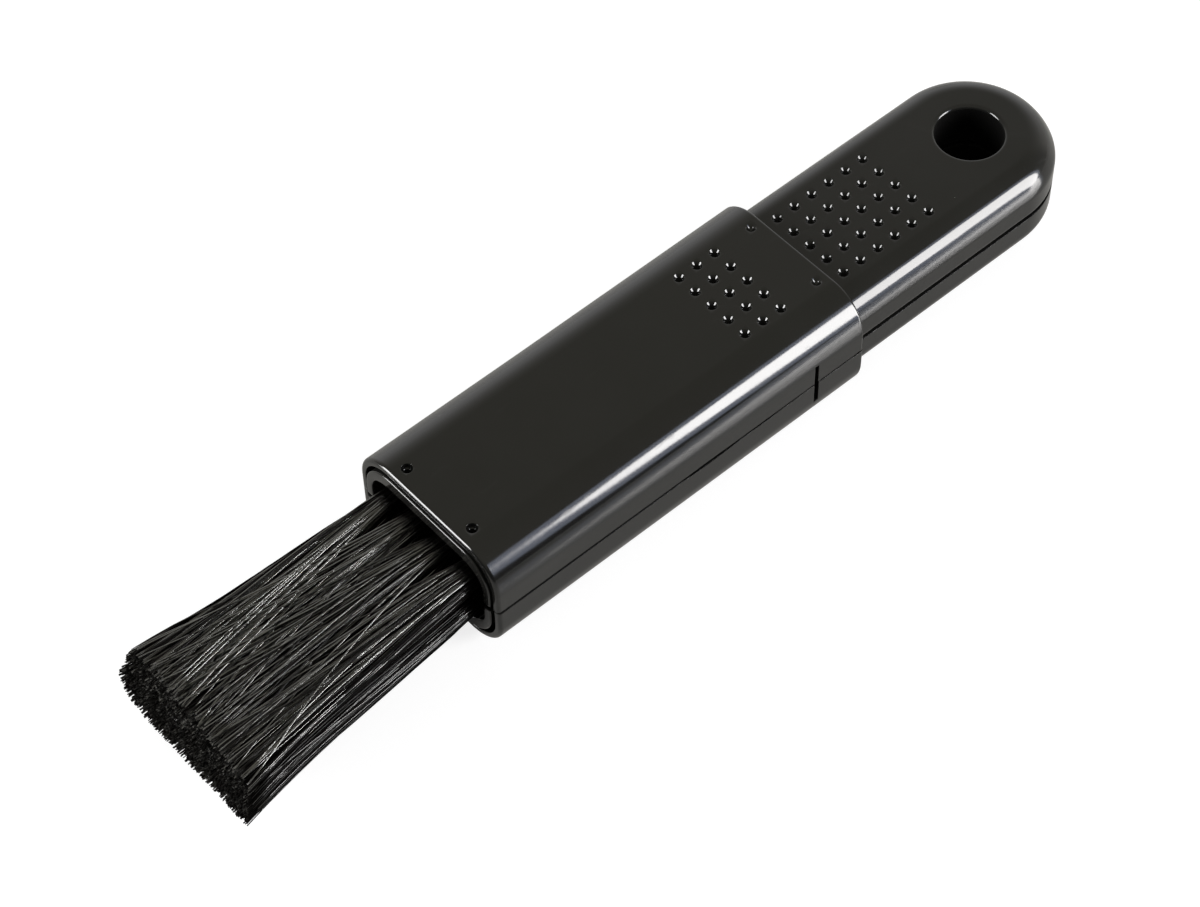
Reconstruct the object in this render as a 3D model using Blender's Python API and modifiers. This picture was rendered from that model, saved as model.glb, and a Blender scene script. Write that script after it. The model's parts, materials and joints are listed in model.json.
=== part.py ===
"""Vent brush in gloss black plastic, with a sleeve that slides forward over its bristles.

Two handle shells run the whole length and hold a brush base with eight bristle tufts at their mouth.
Two sleeve shells close round the handle and slide along it. The origin is under the middle of the
brush, on the surface it lies on: X runs from the bristle tips to the hanging hole, Y runs across and
Z is up. Sizes are in metres, and lengths along the brush count from the sleeve's mouth.
"""

import math

import bmesh
import bpy
from mathutils import Matrix

# Lengths along the brush
bristle_reach = 0.0384
sleeve_length = 0.0596
handle_show = 0.0422

# Sleeve
sleeve_width = 0.0256
sleeve_height = 0.0172
sleeve_corner = 0.0057
sleeve_wall = 0.0010
sleeve_edge_round = 0.0004
sleeve_parting_gap = 0.0002
lip_length = 0.0020
slide_clearance = 0.0003
cover_margin = 0.0008
stop_gap = 0.0003

# Slot through each side of the sleeve
slot_setback = 0.0081
slot_width = 0.0006
slot_height = 0.0068

# Handle
handle_gap = 0.0007
handle_edge_round = 0.0037
handle_wall = 0.0016
handle_seam_gap = 0.00045
hole_radius = 0.0045
hole_lip_round = 0.0005
hole_wall = 0.0014

# Collar at the handle's mouth, which fills the sleeve's bore
collar_recess = 0.0002
collar_wall = 0.0017
collar_corner_ease = 0.0006
collar_edge_round = 0.0003
mouth_notch_height = 0.0009
mouth_notch_depth = 0.0015

# Pins of the lower handle shell and sockets of the upper one
pin_radius = 0.0009
pin_length = 0.0030
pin_clearance = 0.0003
socket_wall = 0.0010
pin_side_gap = 0.0012
pin_place_shares = (0.22, 0.78)

# Brush base
base_recess = 0.0040
base_length = 0.0090
seat_clearance = 0.0003
flange_length = 0.0020
flange_setback = 0.0036
flange_depth = 0.0008

# Tufts, in columns across the brush and rows up it. A share is one wall's part of the room that the
# holes leave in that direction.
tuft_columns = 4
tuft_rows = 2
tuft_radius = 0.0015
tuft_clearance = 0.00015
tuft_hole_depth = 0.0060
column_wall_share = 0.276
row_wall_share = 0.4
slice_length = 0.0010

# Strands of a tuft, and the block that the tips of all the tufts fill together
strand_radius = 0.00014
strand_spacing = 0.000408
strand_tip_swell = 1.4
tuft_tip_gap = 0.0005
tip_spread_across = 0.00195
tip_spread_up = 0.00105
bundle_droop = 0.0018
bundle_slant = 0.0014
bundle_dome = 0.0004
bundle_end_taper_share = 0.42
bundle_taper_power = 3

# Anchor that pins a tuft's folded strands in its hole
anchor_thickness = 0.0004
anchor_depth = 0.0012
anchor_clearance = 0.0003

# Dimples of the grip
dimple_pitch = 0.0030
dimple_radius = 0.00075
dimple_depth = 0.00035
sleeve_dimple_columns = 3
sleeve_dimple_setback = 0.0081
handle_dimple_setback = 0.0027
handle_dimple_hole_gap = 0.0075
corner_dimple_setback = 0.0019

# Faces round a curve
corner_steps = 5
edge_steps = 2
arc_steps = 24
hole_steps = 32
lip_steps = 2
tuft_steps = 16
post_steps = 12
dimple_sides = 10
dimple_rings = 6

# How far a cutter runs past what it cuts, and how close points are before they become one
overrun = 0.0010
weld_distance = 0.000001

# Faces that meet at less than the flat angle become one, and shading breaks above the sharp angle
flat_angle = math.radians(0.5)
sharp_angle = math.radians(35)

# Sizes that follow
travel = bristle_reach + cover_margin
axis_height = sleeve_height / 2
hull_length = sleeve_length + handle_show
overall_length = bristle_reach + hull_length
mouth_x = bristle_reach - overall_length / 2

bore_width = sleeve_width - 2 * sleeve_wall
bore_height = sleeve_height - 2 * sleeve_wall
bore_corner = sleeve_corner - sleeve_wall

handle_width = bore_width - 2 * handle_gap
handle_height = bore_height - 2 * handle_gap
hole_place = hull_length - handle_width / 2

lip_width = handle_width + 2 * slide_clearance
lip_height = handle_height + 2 * slide_clearance
lip_corner = handle_edge_round + slide_clearance
lip_front = sleeve_length - lip_length

collar_width = bore_width - 2 * slide_clearance
collar_height = bore_height - 2 * slide_clearance
collar_corner = bore_corner - slide_clearance + collar_corner_ease
collar_rear = lip_front - travel - stop_gap

pocket_width = collar_width - 2 * collar_wall
pocket_height = collar_height - 2 * collar_wall
pocket_corner = collar_corner - collar_wall

base_front = collar_recess + base_recess
base_rear = base_front + base_length
base_width = pocket_width - 2 * seat_clearance
base_height = pocket_height - 2 * seat_clearance
base_corner = pocket_corner - seat_clearance
flange_front = base_front + flange_setback
flange_rear = flange_front + flange_length
pocket_rear = base_rear + seat_clearance

cavity_width = handle_width - 2 * handle_wall
cavity_height = handle_height - 2 * handle_wall
cavity_edge_round = handle_edge_round - handle_wall
boss_radius = hole_radius + hole_wall

socket_radius = pin_radius + pin_clearance
post_radius = socket_radius + socket_wall

tuft_hole_radius = tuft_radius + tuft_clearance
column_room = base_width - 2 * tuft_hole_radius * tuft_columns
row_room = base_height - 2 * tuft_hole_radius * tuft_rows
column_pitch = 2 * tuft_hole_radius + column_wall_share * column_room
row_pitch = 2 * tuft_hole_radius + row_wall_share * row_room
strands_per_tuft = int(math.pi * tuft_radius**2 / strand_spacing**2)
bundle_half_width = (tuft_columns - 1) * column_pitch / 2 + tuft_radius + tip_spread_across
bundle_half_height = (tuft_rows - 1) * row_pitch / 2 + tuft_radius + tip_spread_up
hole_floor = base_front + tuft_hole_depth
anchor_rear = hole_floor - seat_clearance
anchor_front = anchor_rear - anchor_depth
anchor_width = 2 * math.sqrt((tuft_hole_radius - anchor_clearance) ** 2 - (anchor_thickness / 2) ** 2)
slice_rear = anchor_front - seat_clearance
slice_front = slice_rear - slice_length

golden_angle = math.pi * (3 - math.sqrt(5))


def clear_scene():
    for obj in list(bpy.data.objects):
        bpy.data.objects.remove(obj)


def new_collection(name):
    collection = bpy.data.collections.new(name)
    bpy.context.scene.collection.children.link(collection)
    return collection


def new_material(name, color, roughness, metallic=0.0):
    material = bpy.data.materials.new(name)
    material.use_nodes = True
    shader = material.node_tree.nodes["Principled BSDF"]
    shader.inputs["Base Color"].default_value = (*color, 1.0)
    shader.inputs["Roughness"].default_value = roughness
    shader.inputs["Metallic"].default_value = metallic
    return material


def new_object(name, data, collection):
    obj = bpy.data.objects.new(name, data)
    collection.objects.link(obj)
    obj.parent = brush_axis
    return obj


def finish_mesh(name, bm, collection):
    bmesh.ops.recalc_face_normals(bm, faces=bm.faces)
    mesh = bpy.data.meshes.new(name)
    bm.to_mesh(mesh)
    bm.free()
    return new_object(name, mesh, collection)


def as_cutter(obj):
    obj.hide_render = True
    obj.display_type = "WIRE"
    return obj


def combine(obj, other, operation):
    modifier = obj.modifiers.new(other.name, "BOOLEAN")
    modifier.operation = operation
    modifier.object = other


def shade(obj, material):
    obj.data.materials.append(material)
    obj.data.shade_smooth()
    obj.data.set_sharp_from_angle(angle=sharp_angle)


def round_edges(bm, edges, radius, steps):
    bmesh.ops.bevel(bm, geom=edges, offset=radius, segments=steps, profile=0.5, affect="EDGES")


def edges_where(bm, test):
    return [edge for edge in bm.edges if all(test(vert.co) for vert in edge.verts)]


def bar(name, front, rear, width, height, corner, end_round, collection):
    """Bar along X with a rounded rectangle for its section, and rounded ends where end_round isn't zero."""
    bm = bmesh.new()
    bmesh.ops.create_cube(bm, size=1)
    bmesh.ops.scale(bm, vec=(rear - front, width, height), verts=bm.verts)
    bmesh.ops.translate(bm, vec=((front + rear) / 2, 0, 0), verts=bm.verts)
    along = [e for e in bm.edges if abs(e.verts[0].co.x - e.verts[1].co.x) > (rear - front) / 2]
    round_edges(bm, along, corner, corner_steps)
    if end_round:
        near = end_round / 2
        ends = edges_where(bm, lambda co: co.x < front + near)
        ends += edges_where(bm, lambda co: co.x > rear - near)
        round_edges(bm, ends, end_round, edge_steps)
    return finish_mesh(name, bm, collection)


def half_space(name, side, gap, collection):
    """Block that covers everything on one side of the plane between the shells, half a gap away from it."""
    bm = bmesh.new()
    bmesh.ops.create_cube(bm, size=1)
    bmesh.ops.scale(bm, vec=(2 * overall_length, 2 * sleeve_width, sleeve_height), verts=bm.verts)
    bmesh.ops.translate(bm, vec=(0, 0, side * (sleeve_height + gap) / 2), verts=bm.verts)
    return as_cutter(finish_mesh(name, bm, collection))


def outline_points(front, arc_x, half_width):
    """Plan outline with a straight front and a half round end about arc_x."""
    angles = [math.pi * step / arc_steps - math.pi / 2 for step in range(arc_steps + 1)]
    arc = [(arc_x + half_width * math.cos(a), half_width * math.sin(a)) for a in angles]
    return [(front, -half_width)] + arc + [(front, half_width)]


def solid_from_curve(curve_object, name, collection):
    """Mesh object with the shape of a curve object, its caps joined to its sides."""
    bpy.context.view_layer.update()
    graph = bpy.context.evaluated_depsgraph_get()
    mesh = bpy.data.meshes.new_from_object(curve_object.evaluated_get(graph))
    bm = bmesh.new()
    bm.from_mesh(mesh)
    bmesh.ops.remove_doubles(bm, verts=bm.verts, dist=weld_distance)
    bmesh.ops.recalc_face_normals(bm, faces=bm.faces)
    bm.to_mesh(mesh)
    bm.free()
    obj = new_object(name, mesh, collection)
    obj.matrix_world = curve_object.matrix_world
    bpy.data.objects.remove(curve_object)
    return obj


def slab(name, front, arc_x, width, height, edge_round, collection):
    """Flat bar with a half round end, rounded along its top and bottom edges but square at the front."""
    curve = bpy.data.curves.new(name, "CURVE")
    curve.dimensions = "2D"
    curve.fill_mode = "BOTH"
    curve.extrude = height / 2
    points = outline_points(front, arc_x, width / 2)
    spline = curve.splines.new("POLY")
    spline.points.add(len(points) - 1)
    for point, (x, y) in zip(spline.points, points):
        point.co = (x, y, 0, 1)
    spline.use_cyclic_u = True
    obj = solid_from_curve(new_object(name + "_outline", curve, collection), name, collection)
    bm = bmesh.new()
    bm.from_mesh(obj.data)
    bmesh.ops.dissolve_limit(bm, angle_limit=flat_angle, verts=bm.verts, edges=bm.edges)
    near = edge_round / 2
    rims = edges_where(bm, lambda co: co.z > height / 2 - near)
    rims += edges_where(bm, lambda co: co.z < near - height / 2)
    rims = [e for e in rims if max(vert.co.x for vert in e.verts) > front + near]
    round_edges(bm, rims, edge_round, corner_steps)
    bmesh.ops.recalc_face_normals(bm, faces=bm.faces)
    bm.to_mesh(obj.data)
    bm.free()
    return obj


def add_cylinder(bm, place, length, radius, steps):
    bmesh.ops.create_cone(
        bm, cap_ends=True, segments=steps, radius1=radius, radius2=radius, depth=length, matrix=place
    )


def add_post(bm, x, y, z_from, z_to, radius, steps):
    """Upright cylinder, added to a mesh."""
    place = Matrix.Translation((x, y, (z_from + z_to) / 2))
    add_cylinder(bm, place, abs(z_to - z_from), radius, steps)


def add_rod(bm, x_from, x_to, y, z, radius, steps):
    """Cylinder along X, added to a mesh."""
    place = Matrix.Translation(((x_from + x_to) / 2, y, z)) @ Matrix.Rotation(math.pi / 2, 4, "Y")
    add_cylinder(bm, place, x_to - x_from, radius, steps)


def dimple_cutter(name, places, face_height):
    """Spheres that sink a dimple into the top face at each place."""
    ball_radius = (dimple_radius**2 + dimple_depth**2) / (2 * dimple_depth)
    bm = bmesh.new()
    for x, y in places:
        centre = Matrix.Translation((x, y, face_height + ball_radius - dimple_depth))
        bmesh.ops.create_uvsphere(
            bm, u_segments=dimple_sides, v_segments=dimple_rings, radius=ball_radius, matrix=centre
        )
    return as_cutter(finish_mesh(name, bm, cutters))


def row_places(face_width):
    """Rows of dimples that a flat face has room for, one of them along its middle."""
    side_rows = int((face_width / 2 - dimple_radius) / dimple_pitch)
    return [dimple_pitch * row for row in range(-side_rows, side_rows + 1)]


def sleeve_dimples():
    """Grid near the rim, and one dimple in line with its outer rows near each corner."""
    rows = row_places(sleeve_width - 2 * sleeve_corner)
    last = sleeve_length - sleeve_dimple_setback
    columns = [last - dimple_pitch * column for column in range(sleeve_dimple_columns)]
    corners = [corner_dimple_setback, sleeve_length - corner_dimple_setback]
    return [(x, y) for x in columns for y in rows] + [(x, y) for x in corners for y in (rows[0], rows[-1])]


def handle_dimples():
    """Grid behind the sleeve's rim, of as many columns as end well before the hanging hole."""
    rows = row_places(handle_width - 2 * handle_edge_round)
    first = sleeve_length + handle_dimple_setback
    room = hole_place - hole_radius - handle_dimple_hole_gap - first
    columns = [first + dimple_pitch * column for column in range(int(room / dimple_pitch) + 1)]
    return [(x, y) for x in columns for y in rows]


def slot_cutter():
    """Upright slot through both sides of the sleeve, clear of the handle inside."""
    bm = bmesh.new()
    bmesh.ops.create_cube(bm, size=1)
    bmesh.ops.scale(bm, vec=(slot_width, sleeve_width + 2 * overrun, slot_height), verts=bm.verts)
    bmesh.ops.translate(bm, vec=(sleeve_length - slot_setback, 0, 0), verts=bm.verts)
    return as_cutter(finish_mesh("side_slots", bm, cutters))


def make_sleeve():
    """Both shells of the sleeve: the bore is wide as far as the lip, which rides on the handle."""
    bore = bar("sleeve_bore", -overrun, lip_front, bore_width, bore_height, bore_corner, 0, cutters)
    rear = sleeve_length + overrun
    lip = bar("sleeve_lip", -overrun, rear, lip_width, lip_height, lip_corner, 0, cutters)
    slots = slot_cutter()
    dimples = dimple_cutter("sleeve_dimples", sleeve_dimples(), sleeve_height / 2)
    for name, side in (("sleeve_upper_shell", 1), ("sleeve_lower_shell", -1)):
        shell = bar(
            name, 0, sleeve_length, sleeve_width, sleeve_height, sleeve_corner, sleeve_edge_round, brush
        )
        combine(shell, as_cutter(bore), "DIFFERENCE")
        combine(shell, as_cutter(lip), "DIFFERENCE")
        combine(shell, slots, "DIFFERENCE")
        combine(shell, half_space(name + "_side", side, sleeve_parting_gap, cutters), "INTERSECT")
        if side > 0:
            combine(shell, dimples, "DIFFERENCE")
        shell.parent = sleeve_slide
        shade(shell, sleeve_plastic)


def hole_cutter():
    """Turned cutter for the hanging hole, flared where the hole's lips are rounded."""
    half = handle_height / 2
    flare = []
    for step in range(lip_steps + 1):
        angle = math.pi / 2 * step / lip_steps
        radius = hole_radius + hole_lip_round * (1 - math.sin(angle))
        flare.append((radius, half - hole_lip_round * (1 - math.cos(angle))))
    top = [(0, half + overrun), (flare[0][0], half + overrun)] + flare
    profile = top + [(radius, -z) for radius, z in reversed(top)]
    mesh = bpy.data.meshes.new("hanging_hole")
    points = [(radius, 0, z) for radius, z in profile]
    mesh.from_pydata(points, [(i, i + 1) for i in range(len(points) - 1)], [])
    cutter = new_object("hanging_hole", mesh, cutters)
    cutter.location.x = hole_place
    screw = cutter.modifiers.new("turn", "SCREW")
    screw.steps = hole_steps
    screw.render_steps = hole_steps
    screw.use_merge_vertices = True
    screw.merge_threshold = weld_distance
    return as_cutter(cutter)


def notch_cutter():
    """Notch where the seam between the handle shells meets the mouth."""
    bm = bmesh.new()
    bmesh.ops.create_cube(bm, size=1)
    bmesh.ops.scale(bm, vec=(2 * mouth_notch_depth, bore_width, mouth_notch_height), verts=bm.verts)
    bmesh.ops.translate(bm, vec=(collar_recess, 0, 0), verts=bm.verts)
    return as_cutter(finish_mesh("mouth_notch", bm, cutters))


def post_places():
    """Four places between the brush base and the hanging hole, near the side walls."""
    start = pocket_rear
    span = hole_place - boss_radius - start
    y = cavity_width / 2 - pin_side_gap - post_radius
    return [(start + span * share, side * y) for share in pin_place_shares for side in (-1, 1)]


def handle_posts(name, side):
    """Boss round the hanging hole and four posts, which run from a shell's wall to the seam."""
    bm = bmesh.new()
    reach = side * (handle_height / 2 - handle_wall / 2)
    seam = side * handle_seam_gap / 2
    add_post(bm, hole_place, 0, seam, reach, boss_radius, arc_steps)
    for x, y in post_places():
        add_post(bm, x, y, seam, reach, post_radius, post_steps)
    return as_cutter(finish_mesh(name, bm, cutters))


def handle_pins(name, radius, start, end):
    bm = bmesh.new()
    for x, y in post_places():
        add_post(bm, x, y, start, end, radius, post_steps)
    return as_cutter(finish_mesh(name, bm, cutters))


def make_handle():
    """Both shells of the handle, with the collar and the base's pocket at the mouth."""
    collar = as_cutter(
        bar(
            "collar",
            collar_recess,
            collar_rear,
            collar_width,
            collar_height,
            collar_corner,
            collar_edge_round,
            cutters,
        )
    )
    pocket = as_cutter(
        bar("pocket", -overrun, pocket_rear, pocket_width, pocket_height, pocket_corner, 0, cutters)
    )
    groove = as_cutter(
        bar(
            "groove",
            flange_front - seat_clearance,
            flange_rear + seat_clearance,
            pocket_width + 2 * flange_depth,
            pocket_height + 2 * flange_depth,
            pocket_corner + flange_depth,
            0,
            cutters,
        )
    )
    cavity = as_cutter(
        slab("cavity", base_front, hole_place, cavity_width, cavity_height, cavity_edge_round, cutters)
    )
    hole = hole_cutter()
    notch = notch_cutter()
    dimples = dimple_cutter("handle_dimples", handle_dimples(), handle_height / 2)
    seam = handle_seam_gap / 2
    for name, side in (("handle_upper_shell", 1), ("handle_lower_shell", -1)):
        shell = slab(name, collar_recess, hole_place, handle_width, handle_height, handle_edge_round, brush)
        combine(shell, collar, "UNION")
        combine(shell, pocket, "DIFFERENCE")
        combine(shell, groove, "DIFFERENCE")
        combine(shell, cavity, "DIFFERENCE")
        combine(shell, half_space(name + "_side", side, handle_seam_gap, cutters), "INTERSECT")
        combine(shell, handle_posts(name + "_posts", side), "UNION")
        combine(shell, hole, "DIFFERENCE")
        combine(shell, notch, "DIFFERENCE")
        if side > 0:
            sockets = handle_pins("sockets", socket_radius, -overrun, pin_length + pin_clearance)
            combine(shell, sockets, "DIFFERENCE")
            combine(shell, dimples, "DIFFERENCE")
        else:
            pins = handle_pins("pins", pin_radius, -seam - overrun, pin_length)
            combine(shell, pins, "UNION")
        shade(shell, handle_plastic)


def tuft_place(column, row):
    """Middle of a tuft across and up the brush."""
    y = column_pitch * (column - (tuft_columns - 1) / 2)
    z = row_pitch * (row - (tuft_rows - 1) / 2)
    return y, z


def tufts():
    return [(column, row) for row in range(tuft_rows) for column in range(tuft_columns)]


def make_brush_base():
    """Block that holds the tufts, kept in the handle by a flange."""
    base = bar("brush_base", base_front, base_rear, base_width, base_height, base_corner, 0, brush)
    flange = bar(
        "base_flange",
        flange_front,
        flange_rear,
        base_width + 2 * flange_depth,
        base_height + 2 * flange_depth,
        base_corner + flange_depth,
        0,
        cutters,
    )
    combine(base, as_cutter(flange), "UNION")
    bm = bmesh.new()
    for column, row in tufts():
        y, z = tuft_place(column, row)
        add_rod(bm, base_front - overrun, hole_floor, y, z, tuft_hole_radius, tuft_steps)
    holes = as_cutter(finish_mesh("tuft_holes", bm, cutters))
    combine(base, holes, "DIFFERENCE")
    shade(base, base_plastic)


def tip_point(column, row, across, up):
    """Tip of the strand at a place in its tuft, from -1 to 1 each way: the tips together fill one block."""
    column_half = bundle_half_width / tuft_columns
    y = column_half * (2 * column + 1 - tuft_columns) + across * (column_half - tuft_tip_gap / 2)
    y_share = y / bundle_half_width
    half_height = bundle_half_height * (1 - bundle_end_taper_share * abs(y_share) ** bundle_taper_power)
    row_half = half_height / tuft_rows
    z = row_half * (2 * row + 1 - tuft_rows) + up * (row_half - tuft_tip_gap / 2)
    z_share = z / half_height
    back = bundle_slant * (1 + z_share) / 2 + bundle_dome * y_share**2
    return back - bristle_reach, y, z - bundle_droop


def strand_points(column, row, number):
    """Start, way out and tip of one strand, which keeps its place among its neighbours all the way."""
    turn = golden_angle * number
    side = 1 if column * 2 >= tuft_columns else -1
    a = math.cos(turn) * side
    b = math.sin(turn)
    share = math.sqrt((number + 1 / 2) / strands_per_tuft)
    y, z = tuft_place(column, row)
    root_radius = (tuft_radius - strand_radius) * share
    root_y = y + root_radius * a
    root_z = z + root_radius * b
    spread = share / max(abs(a), abs(b))
    start = (slice_front + slice_length / 2, root_y, root_z)
    exit_point = (base_front, root_y, root_z)
    return start, exit_point, tip_point(column, row, spread * a, spread * b)


def make_tuft(name, column, row):
    """Strands of one tuft, fused to a slice of their backing at the bottom of its hole."""
    y, z = tuft_place(column, row)
    bm = bmesh.new()
    add_rod(bm, slice_front, slice_rear, y, z, tuft_radius, tuft_steps)
    tuft = finish_mesh(name, bm, brush)
    curve = bpy.data.curves.new(name + "_strands", "CURVE")
    curve.dimensions = "3D"
    curve.bevel_depth = strand_radius
    curve.bevel_resolution = 0
    curve.use_fill_caps = True
    for number in range(strands_per_tuft):
        spline = curve.splines.new("POLY")
        points = strand_points(column, row, number)
        spline.points.add(len(points) - 1)
        for point, place, swell in zip(spline.points, points, (1, 1, strand_tip_swell)):
            point.co = (*place, 1)
            point.radius = swell
    outline = new_object(curve.name, curve, cutters)
    strands = as_cutter(solid_from_curve(outline, name + "_solid_strands", cutters))
    combine(tuft, strands, "UNION")
    shade(tuft, bristle_nylon)


def make_anchor(name, column, row):
    """Flat metal strip on edge across the bottom of a tuft's hole."""
    y, z = tuft_place(column, row)
    bm = bmesh.new()
    bmesh.ops.create_cube(bm, size=1)
    bmesh.ops.scale(bm, vec=(anchor_depth, anchor_width, anchor_thickness), verts=bm.verts)
    bmesh.ops.translate(bm, vec=((anchor_front + anchor_rear) / 2, y, z), verts=bm.verts)
    shade(finish_mesh(name, bm, brush), anchor_brass)


clear_scene()
brush = new_collection("vent_brush")
cutters = new_collection("cutters")

brush_axis = bpy.data.objects.new("brush_axis", None)
brush_axis.location = (mouth_x, 0, axis_height)
brush.objects.link(brush_axis)
sleeve_slide = bpy.data.objects.new("sleeve_slide", None)
sleeve_slide.parent = brush_axis
brush.objects.link(sleeve_slide)

sleeve_plastic = new_material("sleeve_plastic", (0.012, 0.012, 0.011), 0.12)
handle_plastic = new_material("handle_plastic", (0.012, 0.012, 0.011), 0.12)
base_plastic = new_material("base_plastic", (0.008, 0.008, 0.008), 0.4)
bristle_nylon = new_material("bristle_nylon", (0.02, 0.018, 0.017), 0.3)
anchor_brass = new_material("anchor_brass", (0.7, 0.5, 0.22), 0.35, 1.0)

make_sleeve()
make_handle()
make_brush_base()
for index, (tuft_column, tuft_row) in enumerate(tufts(), start=1):
    make_tuft(f"bristle_tuft_{index}", tuft_column, tuft_row)
    make_anchor(f"tuft_anchor_{index}", tuft_column, tuft_row)
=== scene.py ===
import json
import math
import random

import bmesh
import bpy
from mathutils import Matrix, Vector, noise

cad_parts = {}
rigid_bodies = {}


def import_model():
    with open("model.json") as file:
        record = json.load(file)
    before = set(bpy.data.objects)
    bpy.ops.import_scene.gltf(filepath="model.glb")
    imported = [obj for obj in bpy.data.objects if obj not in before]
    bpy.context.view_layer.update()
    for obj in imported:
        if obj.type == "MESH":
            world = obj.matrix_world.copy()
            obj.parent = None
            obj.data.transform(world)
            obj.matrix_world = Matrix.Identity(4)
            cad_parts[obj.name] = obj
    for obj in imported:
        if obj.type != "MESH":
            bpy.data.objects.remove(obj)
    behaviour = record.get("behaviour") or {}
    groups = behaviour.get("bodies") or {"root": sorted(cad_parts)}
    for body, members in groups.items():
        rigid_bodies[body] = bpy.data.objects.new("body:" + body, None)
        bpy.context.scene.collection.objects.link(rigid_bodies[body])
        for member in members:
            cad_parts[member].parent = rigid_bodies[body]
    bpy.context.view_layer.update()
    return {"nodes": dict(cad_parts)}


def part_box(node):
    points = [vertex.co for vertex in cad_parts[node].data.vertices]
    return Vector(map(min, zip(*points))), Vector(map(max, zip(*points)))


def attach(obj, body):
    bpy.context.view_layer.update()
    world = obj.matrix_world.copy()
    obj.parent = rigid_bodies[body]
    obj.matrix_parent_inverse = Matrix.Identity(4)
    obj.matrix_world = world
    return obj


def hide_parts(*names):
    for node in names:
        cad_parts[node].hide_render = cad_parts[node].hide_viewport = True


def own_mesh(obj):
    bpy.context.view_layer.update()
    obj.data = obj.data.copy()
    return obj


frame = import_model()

# Places and sizes taken from the frame, in metres
sleeve_low, sleeve_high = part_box("sleeve_upper_shell")
sleeve_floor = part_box("sleeve_lower_shell")[0].z
handle_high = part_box("handle_upper_shell")[1]
base_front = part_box("brush_base")[0].x
mouth = sleeve_low.x
rim = sleeve_high.x
handle_end = handle_high.x
axis_z = (sleeve_high.z + sleeve_floor) / 2
sleeve_half_width = sleeve_high.y
sleeve_half_height = sleeve_high.z - axis_z

# Sleeve
sleeve_corner = 0.0057
sleeve_bevel = 0.000008
sleeve_wall = 0.0010
sleeve_edge = 0.0004
mouth_edge = 0.00050
mouth_proud = 0.00026
bore_edge = 0.00012
lip_wall = 0.0014
lip_length = 0.0020
sleeve_flare = 0.00022
sleeve_flare_from = 0.4
lower_proud = 0.00014
parting_gap = 0.000015
lens_from = 0.0312
lens_to = 0.0145
lens_waist = 0.0208
lens_gap = 0.00038
waist_gap = 0.00012
tail_from = 0.0021
tail_to = 0.0003
slot_setback = 0.0081
slot_half_width = 0.00032
slot_lower_half_width = 0.00037
slot_half_height = 0.0034
scratches_across = (160, 900, 300)

# Handle, and the collar at its front end that shows in the sleeve's mouth
handle_gap = 0.00042
handle_top_gap = 0.0008
handle_floor_gap = 0.00058
handle_half_width = 0.0111
handle_arcs = ((56, 0.0037), (9, 0.0070), (25, 0.0030))
handle_arc_steps = 3
handle_groove = 0.00085
handle_wall = 0.0016
handle_bevel = 0.00005
seam_gap = 0.00045
collar_recess = -0.00052
collar_front_wall = 0.0012
collar_roof = 0.0006
collar_front_length = 0.0030
collar_clearance = 0.0003
collar_corner = 0.0050
collar_wall = 0.0017
collar_edge = 0.0002
collar_length = 0.0179
notch_gap = 0.0009
notch_depth = 0.0015
groove_from = 0.0075
groove_to = 0.0101
groove_wall = 0.0009
hole_radius = 0.0045
hole_lip = 0.0005
cavity_end = 0.0500
scratches_along = (70, 1800, 400)

# Dimples. A shape is (radius in mm, slope in degrees) at each step from its lip to its middle
dimple_pitch = 0.0030
grid_dimple = ((0.755, 0), (0.735, 30), (0.71, 49), (0.42, 49), (0.38, 57), (0.06, 57))
mouth_dimple = ((0.76, 0), (0.74, 60), (0.735, 83), (0.68, 83), (0.67, 49), (0.46, 48), (0.44, 10), (0.06, 5))
rear_dimple = ((0.74, 0), (0.71, 25), (0.68, 41.5), (0.40, 41.5), (0.36, 46), (0.06, 46))
# From this step inwards a mouth dimple is painted black: painted shade, where its bottom would otherwise
# mirror the grey overhead
mouth_painted_shade_from = 6
dimple_jitter = 1.3
dimple_stray = 0.00015
dimple_reach = 0.00096
dimple_cells = 12
dimple_step = 2 * dimple_reach / dimple_cells
dimple_rows = [dimple_pitch * row for row in range(-2, 3)]
corner_dimple_setback = 0.0019
handle_dimple_setback = 0.0027
handle_dimple_columns = 6
sleeve_dimple_seed = 5
handle_dimple_seed = 6

# Bristles. Left is the +Y side and right the -Y side
bristle_seed = 11
tuft_pitch = 0.0049
tuft_radius = 0.00130
filament_radius = 0.000080
filaments_per_tuft = 430
filament_stations = 16
filament_sides = 6
filament_start = 0.0030
filament_widths = (0.85, 1.25)
loose_widths = (0.95, 1.35)
cut_length = 0.3
cut_width = 0.7
bristle_reach = 0.0384
root_edge = 0.0084
left_inset = 0.0002
root_top = 0.0038
tip_left = 0.0112
tip_right = 0.0127
flare_right = 0.00105
flare_left = 0.00160
flare_from = 0.63
edge_slack = 0.08
tip_top = 0.0030
tip_bottom = -0.0055
tip_bottom_tilt = 0.01
top_corner_drop = 0.0010
left_corner_drop = 0.0011
left_corner_lift = 0.0040
right_corner_lift = 0.0002
tip_slant = 0.0012
tip_slant_tilt = 0.05
tip_ragged = 0.00016
tip_uneven = 0.00005
lock_pitch = 450
turn_slack = 0.3
close_wander = 0.0008
close_wander_up = 0.4
ripple_sizes = (0.00030, 0.00010, 0.00003)
ripple_counts = ((0.5, 1.0), (1.4, 2.2), (3.0, 4.5))
clump_pitch = 520.0
clump_turns = 1.3
clump_across = 0.00055
clump_height = 0.00085
spread_power = 1.25
loose_filaments = 42
side_filaments = 8
lock_size = 3
lock_wander = 0.0046
loose_wander = 0.0010
loose_bow = 0.0006
loose_bend = 1.5
loose_low = 0.00005
loose_high = 0.00060
loose_turns = (0.15, 0.85)
side_turn = 0.45
side_heights = (0.1, 0.95)
loose_rise_power = 6
loose_tip_uneven = 8

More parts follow.
